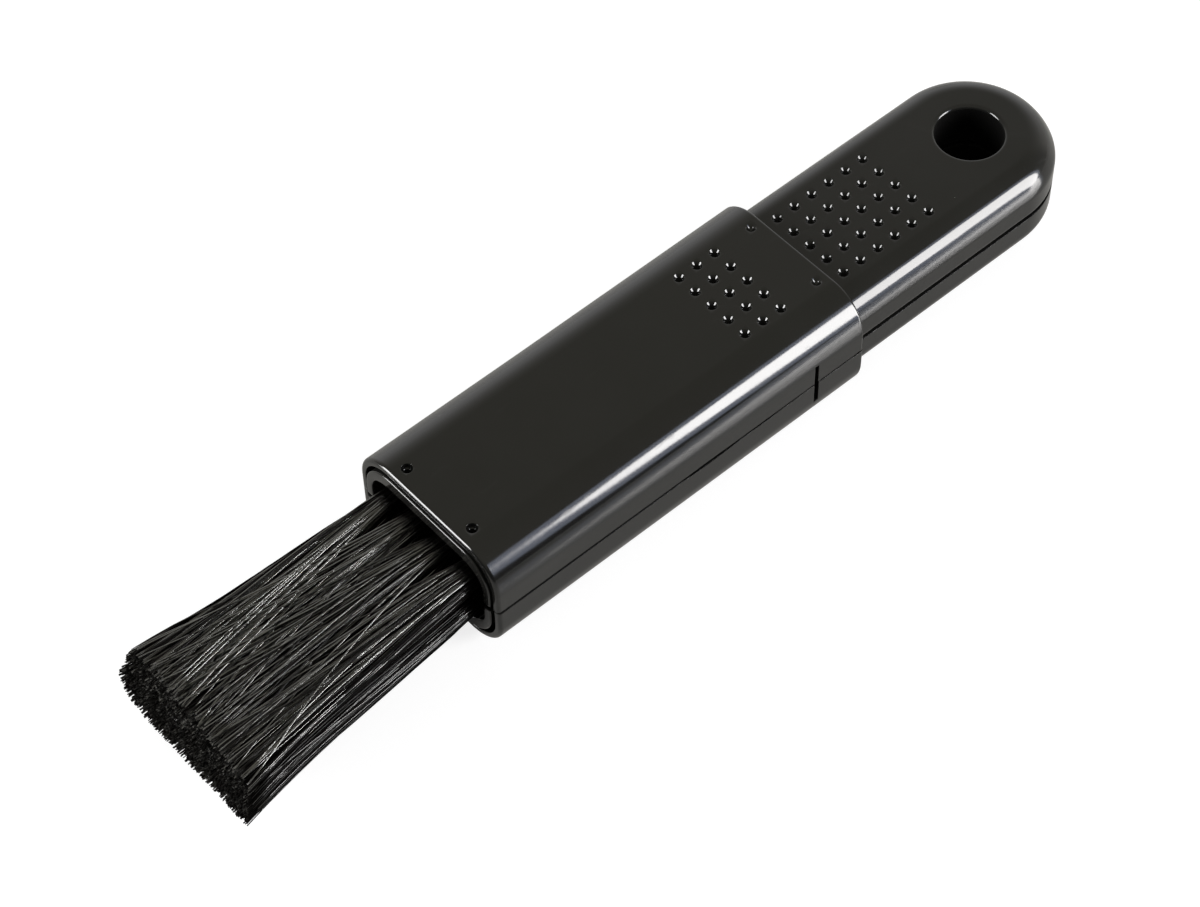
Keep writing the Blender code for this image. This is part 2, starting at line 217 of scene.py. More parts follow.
# Material slots of the filaments, dullest first, and of their cut ends
upper_slots = (0, 0, 0, 0, 1, 2, 3)
lower_slots = (0, 0, 0, 1, 2)
loose_slots = (1, 2, 3, 3)
side_slots = (1, 2)
cut_slot = 4

# Steps and margins of the meshes
sleeve_station = 0.0008
handle_station = 0.0015
plain_step = 0.001
side_shares = (0.0, 0.08, 0.2, 0.45, 0.72)
sleeve_corner_steps = 22
collar_corner_steps = 18
arc_steps = 72
hole_steps = 96
lip_steps = 8
gap_margin = 0.0004
mouth_margin = 0.00005
edge_margin = 0.0001
slot_margin = 0.00004
mark_margin = 0.00005
wall_step = 0.00001
guard = 0.0002
seam_rise = 0.0003
sharp_angle = 50
flat_weight = 60

millimetre = 0.001


def new_mesh_object(name, bm, material):
    bmesh.ops.recalc_face_normals(bm, faces=bm.faces)
    mesh = bpy.data.meshes.new(name)
    bm.to_mesh(mesh)
    bm.free()
    mesh.materials.append(material)
    obj = bpy.data.objects.new(name, mesh)
    bpy.context.scene.collection.objects.link(obj)
    return obj


def finish_shell(obj, bevel):
    """Smooth shading that keeps flat faces flat, with the remaining sharp edges eased."""
    obj.data.shade_smooth()
    ease = obj.modifiers.new("ease", "BEVEL")
    ease.width = bevel
    ease.segments = 2
    ease.limit_method = "ANGLE"
    ease.angle_limit = math.radians(sharp_angle)
    ease.harden_normals = False
    weigh = obj.modifiers.new("weigh", "WEIGHTED_NORMAL")
    weigh.weight = flat_weight
    weigh.keep_sharp = True


def place(obj, body, slot, *nodes):
    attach(obj, body)
    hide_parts(*nodes)


def dimple_profile(shape, jitter):
    """(radius, depth) from a dimple's lip to its middle."""
    profile = [(shape[0][0] * millimetre, 0.0)]
    for (outer, steep_outer), (inner, steep_inner) in zip(shape, shape[1:]):
        slope = math.radians((steep_outer + steep_inner) / 2 + jitter)
        radius, depth = profile[-1]
        profile.append((inner * millimetre, depth + (outer - inner) * millimetre * math.tan(slope)))
    return profile


def fill_dimple(bm, rim_verts, place_found, side):
    """Sinks a dimple into a flat face, inside a closed loop of the face's vertices.

    The innermost part of a mouth dimple takes the second material, a dead black that is painted shade.
    """
    x, y, shape, jitter = place_found
    face_z = rim_verts[0].co.z
    angles = [math.atan2(vert.co.y - y, vert.co.x - x) for vert in rim_verts]
    profile = dimple_profile(shape, jitter)
    rings = [rim_verts]
    for radius, depth in profile:
        z = face_z - side * depth
        rings.append([bm.verts.new((x + radius * math.cos(a), y + radius * math.sin(a), z)) for a in angles])
    count = len(rim_verts)
    for number, (outer, inner) in enumerate(zip(rings, rings[1:])):
        # Painted shade: the inner rings of a mouth dimple take the dead black second material
        dull = shape is mouth_dimple and number > mouth_painted_shade_from
        for here in range(count):
            there = (here + 1) % count
            face = bm.faces.new((outer[here], outer[there], inner[there], inner[here]))
            face.material_index = int(dull)
    # The apex of a mouth dimple is painted shade too
    apex = bm.verts.new((x, y, face_z - side * profile[-1][1]))
    for here in range(count):
        face = bm.faces.new((rings[-1][here], rings[-1][(here + 1) % count], apex))
        face.material_index = int(shape is mouth_dimple)


def dimple_at(x, y, places):
    """The dimple whose cells cover a place on a face, or None."""
    for place_found in places:
        if abs(x - place_found[0]) < dimple_reach and abs(y - place_found[1]) < dimple_reach:
            return place_found
    return None


def square_loop(verts_at, rows, columns):
    """Vertices round a block of cells, in order. rows and columns are the first and last index each way."""
    top, bottom = rows
    left, right = columns
    loop = [verts_at(top, column) for column in range(left, right)]
    loop += [verts_at(row, right) for row in range(top, bottom)]
    loop += [verts_at(bottom, column) for column in range(right, left, -1)]
    loop += [verts_at(row, left) for row in range(bottom, top, -1)]
    return loop


def index_of(values, wanted):
    return min(range(len(values)), key=lambda index: abs(values[index] - wanted))


def stops(start, end, marks, coarse):
    """Places from start to end: the cells of a dimple about each mark, and even steps between them."""
    lines = [start]
    for mark in sorted(marks):
        lines += [mark - dimple_reach + dimple_step * step for step in range(dimple_cells + 1)]
    lines.append(end)
    result = [start]
    for line in lines[1:]:
        gap = line - result[-1]
        if gap < dimple_step * 0.2:
            continue
        pieces = max(1, math.ceil(gap / coarse - 0.001))
        first = result[-1]
        result += [first + gap * piece / pieces for piece in range(1, pieces + 1)]
    result[-1] = end
    return result


def half_section(half_width, half_height, corner, gap, flat_stops, slot_top, steps):
    """Upper half of a rounded rectangle from -Y to +Y, as (y, z, outward y, outward z)."""
    side = half_height - corner
    right = []
    for share in side_shares:
        right.append((half_width, gap + (side - gap) * share, 1.0, 0.0))
    angles = [math.pi / 2 * step / steps for step in range(steps + 1)]
    if slot_top > side:
        angles.append(math.asin((slot_top - side) / corner))
        angles.sort()
    for angle in angles:
        out, up = math.cos(angle), math.sin(angle)
        right.append((half_width - corner + corner * out, side + corner * up, out, up))
    flat = [(y, half_height, 0.0, 1.0) for y in flat_stops]
    left = [(-y, z, -out, up) for y, z, out, up in right]
    return left + flat + right[::-1]


def tube_shell(
    name, material, side, section, outer, inner, gap_at, places, slot=None, slot_top=0.0, widen=None, roof=0.0
):
    """Half a tube, with a dimple at each of the places.

    outer and inner are (x, depth under the skin) for the same stations along it. gap_at gives half the
    open width of its parting line. slot is the first and last x of a slot through the wall, and
    slot_top its height. widen says how far a side stands out, and roof how much thicker the wall is
    at its flat face.
    """
    bm = bmesh.new()
    count = len(section)
    base_gap = section[0][1]
    reach = [abs(z) - base_gap for y, z, out, up in section]

    def ring(x, depth, roof_depth=0.0):
        verts = []
        for index, (y, z, out, up) in enumerate(section):
            low = z
            if up == 0.0:
                low = max(z, gap_at(x) + min(reach[index], gap_margin))
            if index in (0, count - 1):
                low = gap_at(x)
            stand = widen(x, out, side) if widen else 0.0
            height = low - up * (depth + up * roof_depth)
            verts.append(bm.verts.new((x, y - out * (depth - stand), axis_z + side * height)))
        return verts

    outside = [ring(x, depth) for x, depth in outer]
    inside = [ring(x, depth, roof) for x, depth in inner]
    last = len(outer) - 1

    def in_slot(station, point):
        if slot is None:
            return False
        middle = (outer[station][0] + outer[station + 1][0]) / 2
        if not slot[0] < middle < slot[1]:
            return False
        height = (section[point][1] + section[point + 1][1]) / 2
        return height < slot_top and abs(section[point][2]) > 0.5

    def wall_face(ends, flip):
        """A face through the wall's thickness, between two (station, point) of both skins."""
        (near, point), (far, beside) = ends
        corners = (outside[near][point], outside[far][beside], inside[far][beside], inside[near][point])
        bm.faces.new(corners[:1] + corners[:0:-1] if flip else corners)

    for station in range(last):
        for point in range(count - 1):
            if in_slot(station, point):
                continue
            near, far = station, station + 1
            middle_x = (outer[near][0] + outer[far][0]) / 2
            middle_y = (section[point][0] + section[point + 1][0]) / 2
            if section[point][3] < 1.0 or not dimple_at(middle_x, middle_y, places):
                low, high = outside[near][point : point + 2]
                bm.faces.new([low] + outside[far][point : point + 2] + [high])
            bm.faces.new(inside[near][point : point + 2] + inside[far][point : point + 2][::-1])
        for end, cell in ((0, 0), (count - 1, count - 2)):
            if not in_slot(station, cell):
                wall_face(((station, end), (station + 1, end)), True)
    along = [x for x, depth in outer]
    across = [y if up == 1.0 else 1.0 for y, z, out, up in section]
    for spot in places:
        x, y = spot[:2]
        rows = (index_of(along, x - dimple_reach), index_of(along, x + dimple_reach))
        columns = sorted((index_of(across, y - dimple_reach), index_of(across, y + dimple_reach)))
        loop = square_loop(lambda row, column: outside[row][column], rows, columns)
        fill_dimple(bm, loop, spot, side)
    for station in (0, last):
        for point in range(count - 1):
            wall_face(((station, point), (station, point + 1)), False)
    if slot is not None:
        for station in range(last):
            for point in range(count - 1):
                if not in_slot(station, point):
                    continue
                if not in_slot(station - 1, point):
                    wall_face(((station, point), (station, point + 1)), False)
                if not in_slot(station + 1, point):
                    wall_face(((station + 1, point), (station + 1, point + 1)), True)
                for end, beside in ((point, point - 1), (point + 1, point + 1)):
                    if 0 < end < count - 1 and not in_slot(station, beside):
                        wall_face(((station, end), (station + 1, end)), False)
    return new_mesh_object(name, bm, material)


def end_stations(start, edge, steps, inward):
    """(place, depth) round an edge of that radius at one end of a tube, from the end face inwards."""
    angles = [math.pi / 2 * step / steps for step in range(steps + 1)]
    return [(start + inward * edge * (1 - math.cos(a)), edge * (1 - math.sin(a))) for a in angles]


def tube_stations(front, rear, middle, edges, inner_edge, wall_at, steps=6):
    """Outer and inner stations of a tube with rounded rims. edges are the radii of its front and rear rim."""
    outer = end_stations(front, edges[0], steps, 1)
    outer += [(x, 0.0) for x in middle]
    outer += end_stations(rear, edges[1], steps, -1)[::-1]
    inner = [(x, wall_at(x) - depth) for x, depth in end_stations(front, inner_edge, steps, 1)]
    inner += [(x, wall_at(x)) for x in middle]
    inner += [(x, wall_at(x) - depth) for x, depth in end_stations(rear, inner_edge, steps, -1)[::-1]]
    return outer, inner


def smooth_bump(value, start, end):
    """Half a wave that rises from start and falls to end."""
    share = (value - start) / (end - start)
    if share <= 0 or share >= 1:
        return 0.0
    return math.sin(math.pi * share)


def sleeve_gap(x):
    """Half the open width of the sleeve's parting line, which gapes in places."""
    ahead = rim - x
    gape = lens_gap * smooth_bump(ahead, lens_waist, lens_from)
    gape += waist_gap * smooth_bump(ahead, lens_to, lens_waist)
    gape += waist_gap * smooth_bump(ahead, tail_to, tail_from)
    return (parting_gap + gape) / 2


def sleeve_widen(x, toward, side):
    """How far the sleeve's sides stand out at x.

    The +Y side flares towards the rim. On the -Y side only the lower shell stands out a little.
    """
    share = (x - mouth) / (rim - mouth)
    if toward > 0:
        return sleeve_flare * max(0.0, (share - sleeve_flare_from) / (1 - sleeve_flare_from))
    return lower_proud * (1 - share / 2) if side < 0 else 0.0


def sleeve_wall_at(x):
    return lip_wall if x > rim - lip_length else sleeve_wall


def dimple_grid(generator, columns):
    """A dimple at each crossing, each with its wall a little steeper or flatter than the next one's."""
    places = []
    for x in columns:
        places += [(x, y, grid_dimple, generator.uniform(-dimple_jitter, dimple_jitter)) for y in dimple_rows]
    return places


def make_sleeve(material, pit_painted_shade):
    columns = [rim - slot_setback - dimple_pitch * column for column in range(3)]
    corners = [mouth + corner_dimple_setback, rim - corner_dimple_setback]
    right, left = dimple_rows[0], dimple_rows[-1]
    grid = dimple_grid(random.Random(sleeve_dimple_seed), columns)
    grid.append((corners[0], right, mouth_dimple, 0.0))
    grid.append((corners[0] - dimple_stray, left - dimple_stray, mouth_dimple, 0.0))
    grid.append((corners[1], right + dimple_stray, rear_dimple, 0.0))
    grid.append((corners[1], left, rear_dimple, 0.0))
    slot_x = rim - slot_setback
    lip_start = rim - lip_length
    for name, side in (("sleeve_upper", 1), ("sleeve_lower", -1)):
        places = grid if side > 0 else []
        front = mouth - mouth_proud
        start = front + mouth_edge + mouth_margin
        end = rim - sleeve_edge - edge_margin
        middle = stops(start, end, columns + corners, sleeve_station)
        half_slot = slot_half_width if side > 0 else slot_lower_half_width
        slot = (slot_x - half_slot, slot_x + half_slot)
        middle = [x for x in middle if min(abs(x - mark) for mark in slot + (lip_start,)) > slot_margin]
        middle = sorted(middle + list(slot) + [lip_start - wall_step, lip_start + wall_step])
        outer, inner = tube_stations(front, rim, middle, (mouth_edge, sleeve_edge), bore_edge, sleeve_wall_at)
        flat_half = sleeve_half_width - sleeve_corner
        rows = dimple_rows if side > 0 else []
        flat_stops = stops(-flat_half, flat_half, rows, plain_step)[1:-1]
        section = half_section(
            sleeve_half_width, sleeve_half_height, sleeve_corner, parting_gap / 2,
            flat_stops, slot_half_height, sleeve_corner_steps,
        )
        obj = tube_shell(
            name, material, side, section, outer, inner, sleeve_gap, places,
            slot, slot_half_height, sleeve_widen,
        )
        # Second material: painted shade for the middle of the mouth dimples
        obj.data.materials.append(pit_painted_shade)
        finish_shell(obj, sleeve_bevel)
        place(obj, "sleeve", "sleeve_plastic", name + "_shell")


def collar_gap(x):
    """Half the width of the seam, wider where it is notched at the mouth."""
    return (notch_gap if x < mouth + collar_recess + notch_depth else seam_gap) / 2


def collar_wall_at(x):
    behind = x - mouth
    if behind < collar_front_length:
        return collar_front_wall
    return groove_wall if groove_from < behind < groove_to else collar_wall


def make_collar(material, side):
    """Half of the collar inside the sleeve's mouth, as its own mesh."""
    front = mouth + collar_recess
    rear = front + collar_length
    half_width = sleeve_half_width - sleeve_wall - collar_clearance
    half_height = sleeve_half_height - sleeve_wall - collar_clearance
    middle = stops(front + collar_edge + edge_margin, rear - collar_edge - edge_margin, [], plain_step)
    for mark in (front + notch_depth, mouth + collar_front_length, mouth + groove_from, mouth + groove_to):
        middle = [x for x in middle if abs(x - mark) > mark_margin]
        middle += [mark - wall_step, mark + wall_step]
    middle.sort()
    outer, inner = tube_stations(front, rear, middle, (collar_edge, collar_edge), collar_edge, collar_wall_at)
    flat_half = half_width - collar_corner
    flat_stops = stops(-flat_half, flat_half, [], plain_step)[1:-1]
    section = half_section(
        half_width, half_height, collar_corner, seam_gap / 2, flat_stops, 0.0, collar_corner_steps
    )
    return tube_shell("collar", material, side, section, outer, inner, collar_gap, [], roof=collar_roof)


def handle_corner_profile():
    """(inset, drop) round the handle's corner, from its side to its flat face, in arcs of unlike radii."""
    across, down, angle = 0.0, 0.0, 0.0
    points = [(0.0, 0.0)]
    for turn, radius in handle_arcs:
        steps = math.ceil(turn / handle_arc_steps)
        for step in range(steps):
            half_turn = math.radians(turn / steps / 2)
            chord = 2 * radius * math.sin(half_turn)
            across += chord * math.cos(angle + half_turn)
            down += chord * math.sin(angle + half_turn)
            angle += 2 * half_turn
            points.append((across, down))
    return [(points[-1][0] - out, drop) for out, drop in points[::-1]]


def make_handle_body(name, material, bore_painted_shade, side):
    """Skin of half the handle with its hanging hole, whose bore below the lip is painted shade, and a trench
    for a hollow inside.
    """
    half_width = sleeve_half_width - sleeve_wall - handle_gap
    half_height = sleeve_half_height - sleeve_wall - (handle_top_gap if side > 0 else handle_floor_gap)
    front = mouth + collar_recess + collar_length - guard
    arc_x = handle_end - handle_half_width
    seam = handle_groove / 2
    corner = handle_corner_profile()
    handle_corner = corner[-1][0]
    columns = [rim + handle_dimple_setback + dimple_pitch * column for column in range(handle_dimple_columns)]
    grid_end = columns[-1] + dimple_reach + guard
    places = dimple_grid(random.Random(handle_dimple_seed), columns) if side > 0 else []
    marks = columns if side > 0 else []
    straight = stops(front, grid_end, marks, handle_station)
    beyond = stops(grid_end, arc_x, [], plain_step)[1:]
    outline = [(x, -half_width, 0.0, -1.0) for x in straight + beyond]
    for step in range(1, arc_steps):
        angle = math.pi * (step / arc_steps - 0.5)
        out_x, out_y = math.cos(angle), math.sin(angle)
        outline.append((arc_x + half_width * out_x, half_width * out_y, out_x, out_y))
    outline += [(x, half_width, 0.0, 1.0) for x in (straight + beyond)[::-1]]
    side_top = half_height - corner[0][1]
    rings = [(0.0, seam), (0.0, seam + seam_rise), (0.0, side_top * 0.5), (0.0, side_top - guard)]
    rings += [(inset, half_height - drop) for inset, drop in corner]
    bm = bmesh.new()

    def vert(x, y, height):
        return bm.verts.new((x, y, axis_z + side * height))

    skin = []
    for inset, height in rings:
        skin.append([vert(x - out_x * inset, y - out_y * inset, height) for x, y, out_x, out_y in outline])
    for low, high in zip(skin, skin[1:]):
        for here in range(len(outline) - 1):
            bm.faces.new((low[here], low[here + 1], high[here + 1], high[here]))

    flat_half = half_width - handle_corner
    rows = dimple_rows if side > 0 else []
    guard_stops = stops(-flat_half + guard, flat_half - guard, rows, plain_step)
    top_ring = skin[-1]
    count = len(straight)
    grid = []
    for index, x in enumerate(straight):
        column = [top_ring[index]]
        column += [vert(x, y, half_height) for y in guard_stops]
        column.append(top_ring[-1 - index])
        grid.append(column)
    for near, far in zip(grid, grid[1:]):
        for here in range(len(near) - 1):
            middle_x = (near[here].co.x + far[here].co.x) / 2
            middle_y = (near[here].co.y + near[here + 1].co.y) / 2
            if not dimple_at(middle_x, middle_y, places):
                bm.faces.new((near[here], far[here], far[here + 1], near[here + 1]))
    across = [vertex.co.y for vertex in grid[0]]
    for spot in places:
        x, y = spot[:2]
        block_rows = (index_of(straight, x - dimple_reach), index_of(straight, x + dimple_reach))
        block_columns = (index_of(across, y - dimple_reach), index_of(across, y + dimple_reach))
        loop = square_loop(lambda row, column: grid[row][column], block_rows, block_columns)
        fill_dimple(bm, loop, spot, side)
    inset = handle_corner + guard
    inner_ring = [grid[-1][1]]
    for index in range(count, len(outline) - count):
        x, y, out_x, out_y = outline[index]
        inner_ring.append(vert(x - out_x * inset, y - out_y * inset, half_height))
    inner_ring.append(grid[-1][-2])
    outer_ring = top_ring[count - 1 : len(outline) - count + 1]
    for here in range(len(inner_ring) - 1):
        bm.faces.new((outer_ring[here], outer_ring[here + 1], inner_ring[here + 1], inner_ring[here]))

    turns = [2 * math.pi * step / hole_steps for step in range(hole_steps)]
    bore = [(hole_radius + hole_lip + guard, half_height)]
    for step in range(lip_steps + 1):
        angle = math.pi / 2 * step / lip_steps
        drop = hole_lip * (1 - math.cos(angle))
        bore.append((hole_radius + hole_lip * (1 - math.sin(angle)), half_height - drop))
    bore += [(hole_radius, half_height * 0.5), (hole_radius, seam)]
    tube = [[vert(arc_x + r * math.cos(t), r * math.sin(t), h) for t in turns] for r, h in bore]
    for ring, (low, high) in enumerate(zip(tube, tube[1:])):
        for here in range(hole_steps):
            there = (here + 1) % hole_steps
            face = bm.faces.new((low[here], low[there], high[there], high[here]))
            # The bore below its lip takes the dead black material: painted shade inside the hole
            face.material_index = 1 if ring >= lip_steps else 0

    trench_half = half_width - handle_wall
    ceiling = half_height - handle_wall
    trench_low = [vert(front, trench_half, seam), vert(cavity_end, trench_half, seam)]
    trench_low += [vert(cavity_end, -trench_half, seam), vert(front, -trench_half, seam)]
    trench_high = [vert(v.co.x, v.co.y, ceiling) for v in trench_low]
    for here in range(3):
        bm.faces.new((trench_low[here], trench_low[here + 1], trench_high[here + 1], trench_high[here]))
    bm.faces.new(trench_high)
    section = [ring[0] for ring in skin] + grid[0][1:-1] + [ring[-1] for ring in skin[::-1]]
    bm.faces.new(section + [trench_low[0], trench_high[0], trench_high[3], trench_low[3]])

    def fill(loops):
        """Fills a flat face that is bounded by a loop and has another as its hole or notch."""
        edges = []
        for loop, closed in loops:
            pairs = list(zip(loop, loop[1:]))
            if closed:
                pairs.append((loop[-1], loop[0]))
            for pair in pairs:
                found = bm.edges.get(pair)
                edges.append(found or bm.edges.new(pair))
        bmesh.ops.triangle_fill(bm, edges=edges, use_beauty=True, use_dissolve=False)

    fill([(inner_ring + grid[-1][2:-2][::-1], True), (tube[0], True)])
    fill([(skin[0] + trench_low, True), (tube[-1], True)])
    obj = new_mesh_object(name, bm, material)
    obj.data.materials.append(bore_painted_shade)
    return obj


def join(target, other):
    """Adds another object's mesh to the target's."""
    bm = bmesh.new()
    bm.from_mesh(target.data)
    bm.from_mesh(other.data)
    bm.to_mesh(target.data)
    bm.free()
    bpy.data.objects.remove(other)


def make_handle(material, bore_painted_shade):
    for name, side in (("handle_upper", 1), ("handle_lower", -1)):
        body = make_handle_body(name, material, bore_painted_shade, side)
        join(body, make_collar(material, side))
        finish_shell(body, handle_bevel)
        place(body, "handle", "handle_plastic", name + "_shell")


def tip_x(y, z_share):
    """Where the filaments end. The ones on top are shorter, most of all at the +Y side."""
    return mouth - bristle_reach + (tip_slant + tip_slant_tilt * (y + tip_right)) * (1 + z_share) / 2


def tip_heights(y):
    """Lowest and highest place of the bundle's end above the brush's axis, with rounded corners."""
    high = tip_top - top_corner_drop * (abs(y) / tip_right) ** 10
    low = tip_bottom + tip_bottom_tilt * y
    if y > 0:
        return low + left_corner_lift * (y / tip_left) ** 8, high - left_corner_drop * (y / tip_left) ** 8
    return low + right_corner_lift * (abs(y) / tip_right) ** 10, high


def bundle_sides(share):
    """The bundle's -Y and +Y edge at a share of its length. Both fan out before the tip."""
    fan = max(0.0, (share - flare_from) / (1 - flare_from)) ** 2
    right = root_edge + (tip_right - flare_right - root_edge) * share + flare_right * fan
    root_left = root_edge - left_inset
    left = root_left + (tip_left - flare_left - root_left) * share + flare_left * fan
    return -right, left


def ripple(generator, sizes):
    """Waves of unlike length along a filament, as (height, count, start)."""
    counts = [generator.uniform(*limits) for limits in ripple_counts]
    waves = []
    for size, count in zip(sizes, counts):
        waves.append((generator.gauss(0, size), count, generator.uniform(0, 2 * math.pi)))
    return waves


def ripple_at(waves, share):
    ease = min(1.0, share * 5)
    return ease * sum(size * math.sin(2 * math.pi * count * share + start) for size, count, start in waves)


def ease_inside(low, high, value):
    """Draws a value that lies outside the bundle back to near its edge."""
    if value < low:
        return low + (value - low) * edge_slack
    if value > high:
        return high + (value - high) * edge_slack
    return value


def filament_path(generator, column, row, number):
    """Middle line of one filament from inside its hole to its tip, and its radius.

    Filaments spread quickly towards the tufts beside theirs, and slowly on the outer sides of the bundle.
    """
    turn = number * math.pi * (3 - math.sqrt(5)) + generator.uniform(-turn_slack, turn_slack)
    share = math.sqrt((number + 0.5) / filaments_per_tuft)
    out, up = math.cos(turn), math.sin(turn)
    radius = (tuft_radius - filament_radius) * share
    root = (radius * out, radius * up)
    spread = share / max(abs(out), abs(up))
    cell = (tip_left + tip_right) / 4
    drift_y = generator.gauss(0, close_wander)
    drift_z = generator.gauss(0, close_wander * close_wander_up)
    tip_spread = spread * out * cell / 2
    middle_start = (tuft_pitch * (column - 1.5), tuft_pitch * (row - 0.5))
    middle_end_y = cell * (column + 0.5) - tip_right
    tip_y = ease_inside(-tip_right, tip_left, middle_end_y + tip_spread + drift_y)
    low, high = tip_heights(tip_y)
    z_share = (2 * row - 1 + spread * up) / 2
    middle_end_z = low + (high - low) * (row + 0.5) / 2
    rise = low + (high - low) * (1 + z_share) / 2 - middle_end_z
    outer_y = (column == 0 and out < 0) or (column == 3 and out > 0)
    outer_z = (row == 0) == (up < 0)
    lock = noise.noise(Vector((tip_y * lock_pitch, z_share * 2, 3.1))) * tip_ragged
    end_x = tip_x(tip_y, z_share) + lock + generator.uniform(-tip_uneven, tip_uneven)
    waves_y = ripple(generator, ripple_sizes)
    waves_z = ripple(generator, ripple_sizes)
    clump_y = (middle_start[0] + root[0] + tip_y) / 2 * clump_pitch
    clump_z = (middle_start[1] + root[1] + middle_end_z + rise) / 2 * clump_pitch
    start_y, start_z = middle_start[0] + root[0], middle_start[1] + root[1]
    points = [Vector((base_front + filament_start, start_y, axis_z + start_z))]
    for step in range(filament_stations):
        along = step / (filament_stations - 1)
        fast = 1 - (1 - along) ** spread_power
        y = middle_start[0] + (middle_end_y - middle_start[0]) * along
        y += root[0] + (tip_spread - root[0]) * (along if outer_y else fast)
        z = middle_start[1] + (middle_end_z - middle_start[1]) * along
        z += root[1] + (rise - root[1]) * (along if outer_z else fast)
        clump = noise.noise_vector(Vector((clump_y, clump_z, along * clump_turns)))
        ease = min(1.0, along * 4) * (1 - along / 2)
        y += drift_y * along + ripple_at(waves_y, along) + clump.x * clump_across * ease
        z += drift_z * along + ripple_at(waves_z, along) + clump.y * clump_height * ease
        y = ease_inside(*bundle_sides(along), y)
        low, high = tip_heights(y)
        z = ease_inside(-root_top + (low + root_top) * along, root_top + (high - root_top) * along, z)
        points.append(Vector((base_front + (end_x - base_front) * along, y, axis_z + z)))
    return points, filament_radius * generator.uniform(*filament_widths)


def loose_path(generator, column, row, slant):
    """Middle line of a filament that lies slantwise on top of the bundle or on its -Y side."""
    on_side = row == 0
    turn = math.pi * (generator.uniform(*loose_turns) + (side_turn if on_side else 0.0))
    out, up = math.cos(turn), math.sin(turn)
    cell = (tip_left + tip_right) / 4
    start_y = tuft_pitch * (column - 1.5) + tuft_radius * out
    start_z = tuft_pitch * (row - 0.5) + tuft_radius * up
    lift = generator.uniform(loose_low, loose_high)
    end_y = cell * (column + 0.5 + out / 2) - tip_right + slant + generator.gauss(0, loose_wander)
    low, high = tip_heights(-tip_right)
    end_z = low + (high - low) * generator.uniform(*side_heights)
    bow = generator.gauss(0, loose_bow)
    end_x = tip_x(end_y, 1.0) + generator.uniform(-loose_tip_uneven, loose_tip_uneven) * tip_uneven
    points = [Vector((base_front + filament_start, start_y, axis_z + start_z))]
    for step in range(filament_stations):
        along = step / (filament_stations - 1)
        fast = 1 - (1 - along) ** loose_rise_power
        bulge = bow * math.sin(math.pi * along)
        right, left = bundle_sides(along)
        if on_side:
            y = start_y + (right - lift * 0.5 - start_y) * fast
            z = start_z + (end_z - start_z) * along + bulge
        else:
            y = ease_inside(right, left, start_y + (end_y - start_y) * along ** loose_bend + bulge)
            z = start_z + (root_top + (tip_heights(y)[1] - root_top) * along + lift - start_z) * fast
        points.append(Vector((base_front + (end_x - base_front) * along, y, axis_z + z)))
    return points, filament_radius * generator.uniform(*loose_widths)


def add_filament(bm, points, radius, slot):
    """A thin tube with a rounded, cut end. slot is its material, and the end has its own."""
    widths = [radius] * len(points)
    tip_along = (points[-1] - points[-2]).normalized()
    points = points + [points[-1] + tip_along * radius * cut_length]
    widths.append(radius * cut_width)
    rings = []
    for index, point in enumerate(points):
        before = points[max(0, index - 1)]
        after = points[min(len(points) - 1, index + 1)]
        along = (after - before).normalized()
        across = along.cross(Vector((0, 0, 1))).normalized()
        lift = across.cross(along)
        ring = []
        for side in range(filament_sides):
            angle = 2 * math.pi * side / filament_sides
            outward = across * math.cos(angle) + lift * math.sin(angle)
            ring.append(bm.verts.new(point + outward * widths[index]))
        rings.append(ring)
    for number, (low, high) in enumerate(zip(rings, rings[1:])):
        for here in range(filament_sides):
            there = (here + 1) % filament_sides
            face = bm.faces.new((low[here], low[there], high[there], high[here]))
            face.smooth = True
            face.material_index = cut_slot if number == len(rings) - 2 else slot
    bm.faces.new(rings[0][::-1])
    bm.faces.new(rings[-1]).material_index = cut_slot


def make_bristles(*materials):
    """Eight pieces of filaments, one for each CAD tuft. The materials are in the order of the slots."""
    generator = random.Random(bristle_seed)
    # Blender's vector noise starts from the clock unless it is given a seed
    noise.seed_set(bristle_seed)
    for row in range(2):
        for column in range(4):
            number = row * 4 + column + 1
            body_slots = upper_slots if row == 1 else lower_slots
            stray_slots = loose_slots if row == 1 else side_slots
            bm = bmesh.new()
            for filament in range(filaments_per_tuft):
                points, radius = filament_path(generator, column, row, filament)
                add_filament(bm, points, radius, generator.choice(body_slots))
            loose = loose_filaments if row == 1 else side_filaments if column == 0 else 0
            for filament in range(loose):
                if filament % lock_size == 0:
                    slant = generator.gauss(0, lock_wander)
                    if column in (0, 3):
                        slant = abs(slant) if column == 0 else -abs(slant)
                points, radius = loose_path(generator, column, row, slant)
                add_filament(bm, points, radius, generator.choice(stray_slots))
            mesh = bpy.data.meshes.new("filaments_%d" % number)
            bm.to_mesh(mesh)
            bm.free()
            for material in materials:
                mesh.materials.append(material)
            obj = bpy.data.objects.new("filaments_%d" % number, mesh)
            bpy.context.scene.collection.objects.link(obj)
            place(obj, "handle", "bristle_nylon", "bristle_tuft_%d" % number)
            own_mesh(obj)


